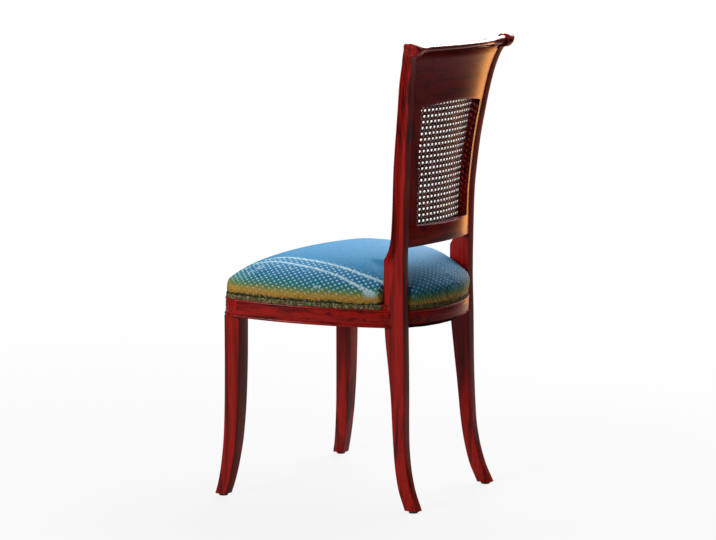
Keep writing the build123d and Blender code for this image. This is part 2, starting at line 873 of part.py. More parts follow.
seat_dowels.part.label = "seat_dowels"
export_step(seat_dowels.part, "parts/seat_dowels.step")

back_dowels.part.label = "back_dowels"
export_step(back_dowels.part, "parts/back_dowels.step")

crest_rail.part.label = "crest_rail"
export_step(crest_rail.part, "parts/crest_rail.step")

lower_back_rail.part.label = "lower_back_rail"
export_step(lower_back_rail.part, "parts/lower_back_rail.step")

back_side_member_left.part.label = "back_side_member_left"
export_step(back_side_member_left.part, "parts/back_side_member_left.step")

back_side_member_right.part.label = "back_side_member_right"
export_step(back_side_member_right.part, "parts/back_side_member_right.step")

cane_panel.part.label = "cane_panel"
export_step(cane_panel.part, "parts/cane_panel.step")

cane_spline.part.label = "cane_spline"
export_step(cane_spline.part, "parts/cane_spline.step")

seat_webbing.part.label = "seat_webbing"
export_step(seat_webbing.part, "parts/seat_webbing.step")

webbing_tacks.part.label = "webbing_tacks"
export_step(webbing_tacks.part, "parts/webbing_tacks.step")

seat_foam.part.label = "seat_foam"
export_step(seat_foam.part, "parts/seat_foam.step")

seat_cover.part.label = "seat_cover"
export_step(seat_cover.part, "parts/seat_cover.step")

gimp_braid.part.label = "gimp_braid"
export_step(gimp_braid.part, "parts/gimp_braid.step")

dust_cover.part.label = "dust_cover"
export_step(dust_cover.part, "parts/dust_cover.step")

foot_glides.part.label = "foot_glides"
export_step(foot_glides.part, "parts/foot_glides.step")
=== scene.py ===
import json
import math

import bmesh
import bpy
import numpy as np
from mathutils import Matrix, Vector

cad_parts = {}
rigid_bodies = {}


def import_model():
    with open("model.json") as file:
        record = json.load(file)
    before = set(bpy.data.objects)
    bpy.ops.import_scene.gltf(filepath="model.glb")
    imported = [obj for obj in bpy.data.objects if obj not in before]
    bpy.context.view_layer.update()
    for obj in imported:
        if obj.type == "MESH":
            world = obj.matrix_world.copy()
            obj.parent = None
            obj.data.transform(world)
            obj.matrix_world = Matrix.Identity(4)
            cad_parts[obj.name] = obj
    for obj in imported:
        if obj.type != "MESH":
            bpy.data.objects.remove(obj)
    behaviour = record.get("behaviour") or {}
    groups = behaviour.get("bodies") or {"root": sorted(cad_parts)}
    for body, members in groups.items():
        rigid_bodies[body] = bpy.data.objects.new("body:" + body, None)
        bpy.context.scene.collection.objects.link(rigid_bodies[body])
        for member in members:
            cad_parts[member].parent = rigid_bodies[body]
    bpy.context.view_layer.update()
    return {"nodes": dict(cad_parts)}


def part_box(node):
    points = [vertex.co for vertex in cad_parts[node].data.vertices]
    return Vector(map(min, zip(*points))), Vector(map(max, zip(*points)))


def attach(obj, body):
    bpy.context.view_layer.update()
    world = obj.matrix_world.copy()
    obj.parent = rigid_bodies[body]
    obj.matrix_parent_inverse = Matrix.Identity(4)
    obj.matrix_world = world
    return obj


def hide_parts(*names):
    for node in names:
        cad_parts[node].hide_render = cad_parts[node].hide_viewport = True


# The chair faces -Y, its left side is +X, and it stands on Z = 0.
# The scene is in metres. Sizes in capitals are in millimetres, and heights are above the floor, unless a
# comment says otherwise.
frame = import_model()
nodes = frame["nodes"]
MM = 0.001

# The whole height, the glides', and the one above which the back no longer follows the stile's rear edge
HEIGHT = 930.0
GLIDE_HEIGHT = 4.0
STILE_UPRIGHT = 897.5

# Shapes of the rear leg and stile, as (height, place)
REAR_EDGE = (
    (GLIDE_HEIGHT, 223.8), (47, 205.0), (95, 193.3), (140, 187.9), (240, 184.8), (361, 182.6), (451, 180.2),
    (569, 181.7), (618, 183.1), (658, 186.3), (718, 191.4), (778, 199.4), (828, 206.5), (856, 211.4),
    (882, 217.8), (STILE_UPRIGHT, 222.6), (912, 229.0), (916, 230.0),
)
LEG_FRONT = (
    (GLIDE_HEIGHT, 195.3), (47, 177.3), (95, 166.8), (140, 161.0), (220, 153.9), (289, 146.1), (349, 139.3),
    (420, 136.4), (497, 136.4), (507, 141.5), (520, 147.3), (540, 151.9), (590, 155.4), (658, 158.6),
    (718, 165.1), (778, 174.2), (828, 182.6), (856.5, 188.8), (896.5, 202.1), (907.7, 207.0), (918.8, 212.7),
)
STILE_SPREAD = (
    (GLIDE_HEIGHT, 145.9), (74, 139.8), (142, 134.8), (285, 130.0), (418, 130.0), (558, 130.0), (642, 131.6),
    (721, 137.8), (796, 146.9), (854, 157.7), (881.6, 164.8), (898.4, 172.3), (HEIGHT, 189.2),
)

# Heights of the stile's sections, as (first, last, how many)
STILE_STATIONS = ((GLIDE_HEIGHT, 400, 46), (410, 480, 8), (484, 525, 22), (532, 880, 44), (886, 921, 12))
STILE_WIDTH = 21.0
STILE_ROUNDING = 1.4

# A reed's section, as (place across it, how proud), the reeds' places behind the stile's front edge, and the
# heights at which they fade
REED = ((-3.4, 0.0), (-2.8, -1.5), (-1.9, -0.4), (0.0, 0.6), (1.9, -0.4), (2.8, -1.5), (3.4, 0.0))
REED_PLACES = (6.5, 14.0)
REED_FOOT = (486, 503)
REED_TOP = (903, 908)

# The scroll's two discs, as (y, height, radius, how proud), their rims, as (how far in from the face, how far
# inside the radius), and the spiral bead on each face
SCROLL_DISCS = ((230.1, 916.6, 13.4, 0.1), (221.5, 921.0, 8.5, 0.3))
SCROLL_RIM = ((0.0, 1.7), (0.5, 0.5), (1.7, 0.0))
VOLUTE_INSET = 3.2
VOLUTE_START = math.radians(200)
VOLUTE_TURNS = 1.3
VOLUTE_EYE = 1.2
VOLUTE_BEAD = 1.5
VOLUTE_SUNK = 0.5

# Shape of the front leg, as (height, how far the foot has kicked out, how much it has thickened)
FRONT_LEG = (
    (GLIDE_HEIGHT, 1.0, 0.0), (30, 0.74, 0.1), (68, 0.48, 0.3), (128, 0.22, 0.58), (211, 0.07, 0.84),
    (302, 0.01, 0.97), (374, 0.0, 1.0),
)
FRONT_LEG_JOINT = 373.0
FRONT_LEG_TOP = 35.0
FRONT_LEG_FOOT = 25.0
FRONT_LEG_PLACE = (209.0, -169.0)
FRONT_FOOT_OUT = 14.0
FRONT_FOOT_KICK = 25.0
FRONT_LEG_ROUNDING = 1.6

# The seat frame, in a plane that rises towards the front
SEAT_TILT = math.radians(1.5)
SEAT_LOW = 368.0
RAIL_HEIGHT = 46.0
RAIL_THICKNESS = 24.0
SHOW_HEIGHT = 36.0
SEAT_CORNER = (234.0, -181.0)
SEAT_SIDE = (211.0, -6.0)
SEAT_REAR = (121.0, 181.0)
SEAT_FRONT_Y = -243.65
SEAT_BOW_Y = 213.0
REAR_RAIL_LOW = 7.0
CORNER_RADIUS = 42.0
REAR_RADIUS = 18.0
BLOCK_X = 191.5
BLOCK_Y = -151.5
LEG_FRONT_Y = 136.4
LEG_REAR_Y = 182.6
NOTCH_X = 119.5
STILE_INNER_X = 119.2
SIDE_RAIL_REAR_Y = 160.0
RAIL_OVERLAP = 0.1

# The frame's show face, as (how far out, how high), with a bead below and one above
SHOW_PROFILE = (
    (-RAIL_THICKNESS, 0.0), (0.4, 0.0), (1.3, 0.35), (1.9, 1.2), (2.1, 2.4), (1.9, 3.6), (1.2, 4.5),
    (0.3, 4.9), (-0.9, 5.1), (-1.0, 5.7), (-0.2, 6.2), (0.0, 7.0), (0.15, 18.0), (0.0, 29.5), (-0.2, 30.4),
    (-1.0, 30.9), (-0.9, 31.5), (0.1, 31.8), (0.7, 32.5), (0.95, 33.6), (0.7, 34.8), (0.0, 35.5),
    (-0.8, 35.9), (-3.6, SHOW_HEIGHT), (-3.6, RAIL_HEIGHT), (-RAIL_THICKNESS, RAIL_HEIGHT),
)

# The back
BACK_BOW = 22.0
BACK_SETBACK = 1.0
BACK_THICKNESS = 20.0
CREST_BOTTOM = 796.0
CREST_ARCH = 11.5
CREST_TOP = 921.0
CREST_HALF = 136.5
CREST_EDGE = 3.0
CREST_SOFT = 1.5
CREST_OVERLAP = 0.4
RAIL_BOTTOM = 523.0
RAIL_TOP = 567.0
RAIL_WAIST = 3.0
RAIL_HALF = 119.8
RAIL_ROUNDING = 1.6
MEMBER_WIDTH = 21.0
MEMBER_ROUNDING = 1.2
MEMBER_OVERLAP = 0.3

# The crest's roll, what it gains at the scrolls, and its neck, as (inset, what it loses, drop, what it gains)
ROLL_RADIUS = 5.5
ROLL_INSET = 3.0
FLARE_START = 0.72
FLARE_RADIUS = 4.0
FLARE_OUT = 8.0
FLARE_UP = 1.5
NECK = ((1.3, 2.5, 0.6, 0.8), (0.15, 0.6, 2.4, 2.2))
NECK_FOOT = 18.5

# The cane: upright and level strands run in pairs, and slanting ones run over and under them
CANE_SETBACK = 15.0
CANE_PITCH = 11.6
CANE_PAIR = 1.7
CANE_WIDTH = 2.6
CANE_SLANT_WIDTH = 3.3
CANE_STEP = 2.9
CANE_EDGE = 3.0
CANE_COLUMNS = 11
CANE_REACH = 240

# The cushion's form, as (share of its height, of its bulge, of its outline, of its corners' growth)
CUSHION = (
    (0.0, 0.0, 1.0, 0.0), (0.045, 0.36, 1.0, 0.36), (0.125, 0.78, 1.0, 0.78), (0.23, 1.0, 1.0, 1.0),
    (0.335, 0.86, 0.98, 1.0), (0.46, 0.2, 0.92, 1.0), (0.61, 0.0, 0.82, 1.0), (0.77, 0.0, 0.67, 1.0),
    (0.885, 0.0, 0.5, 1.0), (0.96, 0.0, 0.32, 1.0), (1.0, 0.0, 0.13, 1.0),
)
CUSHION_HEIGHT = 94.0
CUSHION_BULGE = 4.0
CUSHION_SLOPE = 4.0
CROWN_Y = 20.0
CORNER_GROWTH = 30.0
SKIRT_INSET = 2.0
SHRINK = 1.5
CAP = 2.5
CUSHION_GAP = 0.8
CUTTER_REACH = 300
CUTTER_HEIGHTS = (350, 600)
VOXEL = 5.0
PRESSURE = 4.0
LAST_FRAME = 20

# The cloth, in metres: its dots' pitch, how far out its stripes are, and its colours from the lower edge up,
# whose lighter blue at the top is painted top light
DOT_PITCH = 0.0136
STRIPES = (0.149, 0.17)
CLOTH_PALE = (0.55, 0.76, 0.84)
CLOTH_COLOURS_WITH_TOP_LIGHT = (
    (0.12, (0.01, 0.025, 0.004)), (0.16, (0.42, 0.2, 0.015)), (0.24, (0.44, 0.25, 0.03)),
    (0.33, (0.12, 0.21, 0.05)), (0.42, (0.012, 0.17, 0.18)), (0.56, (0.011, 0.17, 0.33)),
    (0.85, (0.034, 0.25, 0.48)),
)

# The braid's section, as (share of its height, how far out)
BRAID = (
    (0.0, 0.0), (0.0, 0.9), (0.12, 1.5), (0.3, 1.9), (0.44, 1.2), (0.5, 0.9), (0.56, 1.2), (0.7, 1.9),
    (0.88, 1.5), (1.0, 0.9), (1.0, 0.0),
)
BRAID_HEIGHT = 8.8
BRAID_INSET = 1.7
BRAID_STEP = 0.75
SCALLOP = 3.2

# The dust cover: how far it hangs, the step between the cuts that divide it, and the size of its creases and
# how much they show at its edge
DUST_CLOTH_SAG = 2.5
DUST_CLOTH_STEP = 15.0
PUCKER_SIZE = 9.0
PUCKER_SHARE = 0.15

# The stage, in metres: where the floor fades, from a first to a last distance, from a painted shadow pool
# round the chair to white, and how white it is there
FLOOR_SIZE = 200
FLOOR_GREY = (0.33, 0.33, 0.33)
FLOOR_SHADOW_POOL_FADE = (0.5, 2.2)
FLOOR_WHITE_SHARE = (0.87, 1.0)
SKY_COLOUR = (0.85, 0.92, 1.0)
SKY_STRENGTH = 0.06
WHITE = (1, 1, 1)

# The camera, with its place in metres, its turn in degrees, and its lens and sensor in millimetres
CAMERA_PLACE = (4.3755, 2.7235, 1.2499)
CAMERA_TURN = (81.17, 0, 122)
LENS = 128.4
SENSOR_WIDTH = 36

SIDES = (("left", False), ("right", True))
POLISHED_GLOSS = 0.6


def curve(points):
    """A smooth function through (place, value) points that never overshoots them."""
    x, y = np.array(points, float)[:, :2].T
    step = np.diff(x)
    slope = np.diff(y) / step
    tangent = np.concatenate([slope[:1], np.zeros(len(x) - 2), slope[-1:]])
    for i in range(1, len(x) - 1):
        if slope[i - 1] * slope[i] > 0:
            tangent[i] = 2 * slope[i - 1] * slope[i] / (slope[i - 1] + slope[i])

    def read(at):
        at = np.clip(np.asarray(at, float), x[0], x[-1])
        i = np.clip(np.searchsorted(x, at) - 1, 0, len(step) - 1)
        t = (at - x[i]) / step[i]
        return (
            y[i] * (1 + 2 * t) * (1 - t) ** 2
            + y[i + 1] * t * t * (3 - 2 * t)
            + step[i] * (tangent[i] * t * (1 - t) ** 2 - tangent[i + 1] * t * t * (1 - t))
        )

    return read


rear_edge = curve(REAR_EDGE)
leg_front = curve(LEG_FRONT)
stile_centre = curve(STILE_SPREAD)


def smoothstep(low, high, at):
    """Rises smoothly from 0 at low to 1 at high."""
    t = np.clip((np.asarray(at, float) - low) / (high - low), 0, 1)
    return t * t * (3 - 2 * t)


def add_mesh(name, points, faces, sharp=38):
    """A mesh object from points in millimetres, smooth apart from its sharp edges."""
    mesh = bpy.data.meshes.new(name)
    mesh.from_pydata([tuple(float(c) * MM for c in p) for p in points], [], faces)
    work = bmesh.new()
    work.from_mesh(mesh)
    bmesh.ops.remove_doubles(work, verts=work.verts, dist=1e-6)
    bmesh.ops.recalc_face_normals(work, faces=work.faces)
    work.to_mesh(mesh)
    work.free()
    mesh.shade_smooth()
    mesh.set_sharp_from_angle(angle=math.radians(sharp))
    piece = bpy.data.objects.new(name, mesh)
    bpy.context.scene.collection.objects.link(piece)
    return piece


def skin(rings, loop=True, caps=True):
    """Points and faces of a skin over rings that all have the same number of points."""
    rings = np.asarray(rings, float)
    count, size = rings.shape[:2]
    faces = []
    for i in range(count - 1):
        for j in range(size if loop else size - 1):
            a, b = i * size + j, i * size + (j + 1) % size
            faces.append((a, b, b + size, a + size))
    if caps:
        faces.append(tuple(range(size))[::-1])
        faces.append(tuple((count - 1) * size + j for j in range(size)))
    return rings.reshape(-1, 3), faces


def mirrored(points):
    """The points' mirror image across the chair's middle."""
    return np.asarray(points, float) * (-1, 1, 1)


def rounded(corners, radius, steps=3):
    """A closed outline through corners, with each corner rounded by a radius."""
    corners = np.asarray(corners, float)
    outline = []
    for i, corner in enumerate(corners):
        before, after = corners[i - 1] - corner, corners[(i + 1) % len(corners)] - corner
        start = corner + before / np.linalg.norm(before) * radius
        end = corner + after / np.linalg.norm(after) * radius
        for k in range(steps + 1):
            t = k / steps
            outline.append(start * (1 - t) ** 2 + corner * 2 * t * (1 - t) + end * t * t)
    return np.array(outline)


def three_point_arc(start, middle, end, count=160):
    """Points along the circle arc through three points."""
    (ax, ay), (bx, by), (cx, cy) = start, middle, end
    d = 2 * (ax * (by - cy) + bx * (cy - ay) + cx * (ay - by))
    ux = ((ax**2 + ay**2) * (by - cy) + (bx**2 + by**2) * (cy - ay) + (cx**2 + cy**2) * (ay - by)) / d
    uy = ((ax**2 + ay**2) * (cx - bx) + (bx**2 + by**2) * (ax - cx) + (cx**2 + cy**2) * (bx - ax)) / d
    radius = math.hypot(ax - ux, ay - uy)
    first = math.atan2(ay - uy, ax - ux)
    sweep = (math.atan2(cy - uy, cx - ux) - first) % (2 * math.pi)
    angles = first + sweep * np.linspace(0, 1, count, endpoint=False)
    return np.column_stack([ux + radius * np.cos(angles), uy + radius * np.sin(angles)])


def shrunk(outline, inset):
    """A convex outline moved in by an inset."""
    kept = outline
    for start, end in zip(outline, np.roll(outline, -1, axis=0)):
        way = (end - start) / np.linalg.norm(end - start)
        depth = (kept - start) @ np.array([-way[1], way[0]]) - inset
        if depth.min() >= 0:
            continue
        after = np.roll(depth, -1)
        crosses = depth * after < 0
        step = np.where(crosses, depth / np.where(crosses, depth - after, 1), 0)[:, None]
        crossings = kept + (np.roll(kept, -1, axis=0) - kept) * step
        kept = np.stack([kept, crossings], axis=1)[np.stack([depth >= 0, crosses], axis=1)]
    return kept


def seat_outline(grow=0.0, share=1.0, rounder=0.0, count=720):
    """The seat's outline in plan and its outward normals, at evenly turned directions."""

    def place(x, y):
        return (x * share, CROWN_Y + (y - CROWN_Y) * share)

    def flip(point):
        return (-point[0], point[1])

    front_left = place(SEAT_CORNER[0] + grow, SEAT_CORNER[1] - grow)
    rear_left = place(SEAT_REAR[0] + grow, SEAT_REAR[1] + grow)
    side_left = place(SEAT_SIDE[0] + grow, SEAT_SIDE[1])
    front, rear = place(0, SEAT_FRONT_Y - grow), place(0, SEAT_BOW_Y + grow)
    raw = np.concatenate([
        three_point_arc(flip(front_left), front, front_left),
        three_point_arc(front_left, side_left, rear_left),
        three_point_arc(rear_left, rear, flip(rear_left)),
        three_point_arc(flip(rear_left), flip(side_left), flip(front_left)),
    ])
    turns = 2 * math.pi * (np.arange(count) + 0.5) / count
    normals = np.column_stack([np.cos(turns), np.sin(turns)])
    result = np.zeros((count, 2))
    front_half = normals[:, 1] < 0.25
    for radius, mask in ((CORNER_RADIUS + grow + rounder, front_half), (REAR_RADIUS + grow, ~front_half)):
        core = shrunk(raw, radius * share)
        reach = core[np.argmax(normals @ core.T, axis=1)] + normals * radius * share
        result[mask] = reach[mask]
    return result, normals


def on_seat(x, y, height):
    """A point of the tilted seat plane, at a height above the underside of the rails."""
    x, y, height = np.broadcast_arrays(np.asarray(x, float), y, height)
    return np.stack([
        x,
        y * math.cos(SEAT_TILT) + height * math.sin(SEAT_TILT),
        SEAT_LOW - y * math.sin(SEAT_TILT) + height * math.cos(SEAT_TILT),
    ], axis=-1)


outline, outline_normals = seat_outline()


def new_material(name):
    """A material with its node tree, its main shader and functions that add nodes and sums to it."""
    material = bpy.data.materials.new(name)
    material.use_nodes = True
    tree = material.node_tree
    shader = tree.nodes["Principled BSDF"]

    def node(kind, links=(), **values):
        """Adds a node, sets its properties and sockets, and links sockets to it."""
        made = tree.nodes.new(kind)
        for key, value in values.items():
            if hasattr(made, key):
                setattr(made, key, value)
            else:
                made.inputs[key].default_value = value
        for socket, source in dict(links).items():
            tree.links.new(source, made.inputs[socket])
        return made

    def calc(operation, *sources):
        """Adds a sum of links and plain numbers, and returns its result."""
        made = tree.nodes.new("ShaderNodeMath")
        made.operation = operation
        for i, source in enumerate(sources):
            if isinstance(source, (int, float)):
                made.inputs[i].default_value = source
            else:
                tree.links.new(source, made.inputs[i])
        return made.outputs[0]

    return material, tree, shader, node, calc


def ramp(node, source, stops):
    """A colour ramp over (place, colour) stops."""
    made = node("ShaderNodeValToRGB", {"Fac": source})
    ends = made.color_ramp.elements
    while len(ends) < len(stops):
        ends.new(0.5)
    for end, (place, colour) in zip(ends, stops):
        end.position = place
        end.color = (*colour, 1)
    return made.outputs["Color"]


def blend(node, kind, share, first, second):
    """Two colours mixed by a share, which is a link or a plain number."""
    made = node("ShaderNodeMix", {6: first}, data_type="RGBA", blend_type=kind)
    links = made.id_data.links
    if isinstance(share, (int, float)):
        made.inputs["Factor"].default_value = share
    else:
        links.new(share, made.inputs["Factor"])
    if isinstance(second, tuple):
        made.inputs[7].default_value = (*second, 1)
    else:
        links.new(second, made.inputs[7])
    return made.outputs[2]


def finish(tree, shader, node, colour, height, strength, distance, rough):
    """Links a colour and a bump to a shader and sets how rough it is."""
    tree.links.new(colour, shader.inputs["Base Color"])
    bump = node("ShaderNodeBump", {"Height": height}, Strength=strength, Distance=distance)
    tree.links.new(bump.outputs["Normal"], shader.inputs["Normal"])
    shader.inputs["Roughness"].default_value = rough


def wood_material(name, grain, light, dark, gloss, rough, polished_above=None, coat_rough=0.12):
    """Varnished wood with its grain along axis 0, 1 or 2, and glossier above a height, if one is given."""
    material, tree, shader, node, calc = new_material(name)
    place = node("ShaderNodeTexCoord").outputs["Object"]
    scale, fine_scale = [95.0] * 3, [420.0] * 3
    scale[grain], fine_scale[grain] = 4.0, 14.0
    stretched = node("ShaderNodeMapping", {"Vector": place}, Scale=scale).outputs["Vector"]
    streaks = node(
        "ShaderNodeTexNoise", {"Vector": stretched}, Scale=1.0, Detail=6.0, Roughness=0.55, Distortion=0.4
    ).outputs["Fac"]
    colour = ramp(node, streaks, ((0.36, dark), (0.56, light), (0.75, [c * 0.75 for c in light])))
    fine = node("ShaderNodeMapping", {"Vector": place}, Scale=fine_scale).outputs["Vector"]
    pores = node("ShaderNodeTexNoise", {"Vector": fine}, Scale=1.0, Detail=3.0, Roughness=0.5).outputs["Fac"]
    shade = ramp(node, pores, ((0.36, (0.4, 0.35, 0.35)), (0.5, WHITE)))
    finish(tree, shader, node, blend(node, "MULTIPLY", 0.5, colour, shade), pores, 0.05, 0.0004, rough)
    shader.inputs["Specular IOR Level"].default_value = 0.12
    shader.inputs["Coat Weight"].default_value = gloss
    shader.inputs["Coat Roughness"].default_value = coat_rough
    if polished_above:
        height = node("ShaderNodeSeparateXYZ", {"Vector": place}).outputs["Z"]
        polished = calc("GREATER_THAN", height, polished_above * MM)
        varnish = calc("MULTIPLY_ADD", polished, POLISHED_GLOSS - gloss, gloss)
        tree.links.new(varnish, shader.inputs["Coat Weight"])
    return material


def plain_material(name, colour, rough, metallic=0.0):
    """A plain finish with fine mottling, 15 percent darker and lighter than its colour."""
    material, tree, shader, node, _ = new_material(name)
    place = node("ShaderNodeTexCoord").outputs["Object"]
    noise = node("ShaderNodeTexNoise", {"Vector": place}, Scale=600.0, Detail=4.0).outputs["Fac"]
    low, high = [c * (1 - 0.15) for c in colour], [c * (1 + 0.15) for c in colour]
    finish(tree, shader, node, ramp(node, noise, ((0.35, low), (0.65, high))), noise, 0.3, 0.1 * MM, rough)
    shader.inputs["Metallic"].default_value = metallic
    return material


def waves(node, place, axis, scale, **values):
    """Bands across an axis."""
    made = node("ShaderNodeTexWave", {"Vector": place}, bands_direction=axis, Scale=scale, **values)
    return made.outputs["Fac"]


def woven_material(name, colour, thread):
    """Plain-woven cloth, its threads drawn by two crossed waves."""
    material, tree, shader, node, calc = new_material(name)
    place = node("ShaderNodeTexCoord").outputs["Object"]
    scale = 1 / (thread * MM) / 20 * math.pi
    both = calc("MULTIPLY", *(waves(node, place, axis, scale, Distortion=0.4) for axis in "XY"))
    shade = ramp(node, both, ((0.0, [c * 0.55 for c in colour]), (0.6, colour)))
    finish(tree, shader, node, shade, both, 0.5, 0.0003, 0.9)
    return material


def cane_material_with_painted_shade():
    """Cane painted dark red-brown as backlit shade, with honey-coloured patches of its own colour along the
    strands.
    """
    material, tree, shader, node, _ = new_material("cane")
    place = node("ShaderNodeTexCoord").outputs["Object"]
    noise = node("ShaderNodeTexNoise", {"Vector": place}, Scale=90.0, Detail=4.0).outputs["Fac"]
    # Noise patches run from dark red-brown painted backlit shade to the cane's own honey colour
    colour = ramp(node, noise, (
        (0.38, (0.08, 0.006, 0.004)), (0.58, (0.19, 0.025, 0.008)), (0.75, (0.38, 0.12, 0.025)),
    ))
    finish(tree, shader, node, colour, noise, 0.3, 0.0002, 0.28)
    shader.inputs["Specular IOR Level"].default_value = 0.15
    return material


wood_along = [
    wood_material(f"mahogany_{axis}", i, (0.29, 0.006, 0.003), (0.075, 0.0015, 0.001), 0.12, 0.38)
    for i, axis in enumerate("xyz")
]
crest_wood = wood_material(
    "mahogany_crest", 0, (0.25, 0.005, 0.0025), (0.14, 0.003, 0.002), 0.12, 0.38, CREST_TOP - 13, 0.2
)
block_wood = wood_material("beech", 0, (0.56, 0.38, 0.2), (0.42, 0.27, 0.14), 0.0, 0.65)
cane_finish_with_painted_shade = cane_material_with_painted_shade()
steel_finish = plain_material("steel", (0.45, 0.43, 0.4), 0.38, metallic=1.0)
tack_finish = plain_material("blued_steel", (0.05, 0.055, 0.075), 0.35, metallic=1.0)
jute_finish = woven_material("jute", (0.42, 0.3, 0.16), 1.6)
cambric_finish = woven_material("cambric", (0.012, 0.012, 0.014), 0.9)
glide_finish = plain_material("nylon", (0.02, 0.016, 0.013), 0.4)


def dress(piece, material, slot, *replaced):
    """Gives a piece its material, rides it on the chair and lets it stand for its CAD nodes; the slot is not
    used.
    """
    piece.data.materials.clear()
    piece.data.materials.append(material)
    if piece.parent is None:
        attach(piece, "root")
    if replaced:
        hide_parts(*replaced)
    return piece


def stile_section(height):
    """The stile's outline at a height, with two reeds near the front of its outer face."""
    centre, front, rear = float(stile_centre(height)), float(leg_front(height)), float(rear_edge(height))
    inner, outer = centre - STILE_WIDTH / 2, centre + STILE_WIDTH / 2
    depth = float(smoothstep(*REED_FOOT, height) * (1 - smoothstep(*REED_TOP, height)))
    corners = rounded([(inner, front), (outer, front), (outer, rear), (inner, rear)], STILE_ROUNDING)
    half = len(corners) // 2
    section = list(corners[:half])
    for reed in REED_PLACES:
        section += [(outer + relief * depth, front + reed + away) for away, relief in REED]
    section += list(corners[half:])
    return [(x, y, height) for x, y in section]


stile_heights = np.concatenate([np.linspace(*station) for station in STILE_STATIONS])


def scroll_x(height):
    """Where the middle of the stile lies at a height, up to the top of the scroll."""
    return float(stile_centre(min(height, HEIGHT)))


def disc_rings(y, z, radius, half_width):
    """A turned disc of the scroll, with softened rims, as rings from its inner to its outer face."""
    rims = [(away - half_width, inset) for away, inset in SCROLL_RIM]
    rims += [(-away, inset) for away, inset in rims[::-1]]
    turns = np.linspace(0, 2 * math.pi, 56, endpoint=False)
    rings = []
    for away, inset in rims:
        ring = []
        for turn in turns:
            height = z + (radius - inset) * math.sin(turn)
            ring.append((scroll_x(height) + away, y + (radius - inset) * math.cos(turn), height))
        rings.append(ring)
    return rings


def volute(y, z, radius, outward):
    """A raised spiral bead on the scroll's inner or outer face, thinner towards its eye."""
    rings = []
    for t in np.linspace(0, 1, 91):
        angle = VOLUTE_START + t * VOLUTE_TURNS * 2 * math.pi
        reach = radius * (1 - t) ** 0.9 + VOLUTE_EYE
        thick = VOLUTE_BEAD * (1 - 0.4 * t)
        face = scroll_x(z + reach * math.sin(angle)) + outward * STILE_WIDTH / 2
        ring = []
        for a in np.linspace(0, 2 * math.pi, 10, endpoint=False):
            proud = max(thick * 0.75 * math.sin(a), -VOLUTE_SUNK)
            away = reach + thick * math.cos(a)
            ring.append((face + outward * proud, y + away * math.cos(angle), z + away * math.sin(angle)))
        rings.append(ring)
    return rings


def joined(parts, flip):
    """Several skins as one set of points and faces, mirrored across the chair where flip is true."""
    points, faces = [], []
    for part_points, part_faces in parts:
        faces += [tuple(i + len(points) for i in face) for face in part_faces]
        points += list(mirrored(part_points) if flip else part_points)
    return points, faces


leg_parts = [skin([stile_section(height) for height in stile_heights])]
for y, z, radius, proud in SCROLL_DISCS:
    leg_parts.append(skin(disc_rings(y, z, radius, STILE_WIDTH / 2 + proud)))
    leg_parts += [skin(volute(y, z, radius - VOLUTE_INSET, outward)) for outward in (-1, 1)]
for side, flip in SIDES:
    piece = add_mesh(f"rear_leg_and_stile_{side}", *joined(leg_parts, flip))
    dress(piece, wood_along[2], "mahogany", f"rear_leg_{side}")

kick_out = curve([(height, kick) for height, kick, _ in FRONT_LEG])
thickening = curve([(height, thick) for height, _, thick in FRONT_LEG])


def front_leg_section(height):
    """The front leg's rounded square at a height."""
    kick = float(kick_out(height))
    half = (FRONT_LEG_FOOT + (FRONT_LEG_TOP - FRONT_LEG_FOOT) * float(thickening(height))) / 2
    x, y = FRONT_LEG_PLACE[0] + FRONT_FOOT_OUT * kick, FRONT_LEG_PLACE[1] - FRONT_FOOT_KICK * kick
    corners = [(x - half, y - half), (x + half, y - half), (x + half, y + half), (x - half, y + half)]
    return [(px, py, height) for px, py in rounded(corners, FRONT_LEG_ROUNDING)]


front_leg = skin([front_leg_section(height) for height in np.linspace(GLIDE_HEIGHT, FRONT_LEG_JOINT, 60)])


def unbroken(keep):
    """Which points of a closed outline are kept, in order along the one run that they make."""
    inside = np.flatnonzero(keep)
    breaks = np.flatnonzero(np.diff(inside) > 1)
    return np.roll(inside, -(breaks[0] + 1)) if len(breaks) else inside


def rail_rings(keep, low=0.0, extra=3):
    """Rings of the show profile along the kept part of the seat's outline and a little beyond it."""
    inside = unbroken(keep)
    first, last = inside[0] - extra, inside[-1] + extra
    count = len(outline)
    run = [i % count for i in range(first, (last if last > first else last + count) + 1)]
    rings = []
    for i in run:
        (x, y), (nx, ny) = outline[i], outline_normals[i]
        rings.append([on_seat(x + nx * out, y + ny * out, max(high, low)) for out, high in SHOW_PROFILE])
    return np.array(rings)


x, y = outline.T
front_rings = rail_rings((np.abs(x) < BLOCK_X) & (y < 0))
front_rings[..., 0] = np.clip(front_rings[..., 0], RAIL_OVERLAP - BLOCK_X, BLOCK_X - RAIL_OVERLAP)
rear_rings = rail_rings((np.abs(x) < NOTCH_X) & (y > 0), low=REAR_RAIL_LOW)
rear_rings[..., 0] = np.clip(rear_rings[..., 0], -NOTCH_X - RAIL_OVERLAP, NOTCH_X + RAIL_OVERLAP)
side_rings = rail_rings((x > 0) & (y > BLOCK_Y) & (y < SIDE_RAIL_REAR_Y - 2), extra=2)
side_rings[..., 1] = np.clip(side_rings[..., 1], BLOCK_Y + RAIL_OVERLAP, SIDE_RAIL_REAR_Y)
dress(add_mesh("seat_rail_front_moulded", *skin(front_rings)), wood_along[0], "mahogany", "seat_rail_front")
dress(add_mesh("seat_rail_rear_moulded", *skin(rear_rings)), wood_along[0], "mahogany", "seat_rail_rear")
for side, flip in SIDES:
    piece = add_mesh(f"seat_rail_{side}_moulded", *joined([skin(side_rings)], flip))
    dress(piece, wood_along[1], "mahogany", f"seat_rail_{side}")

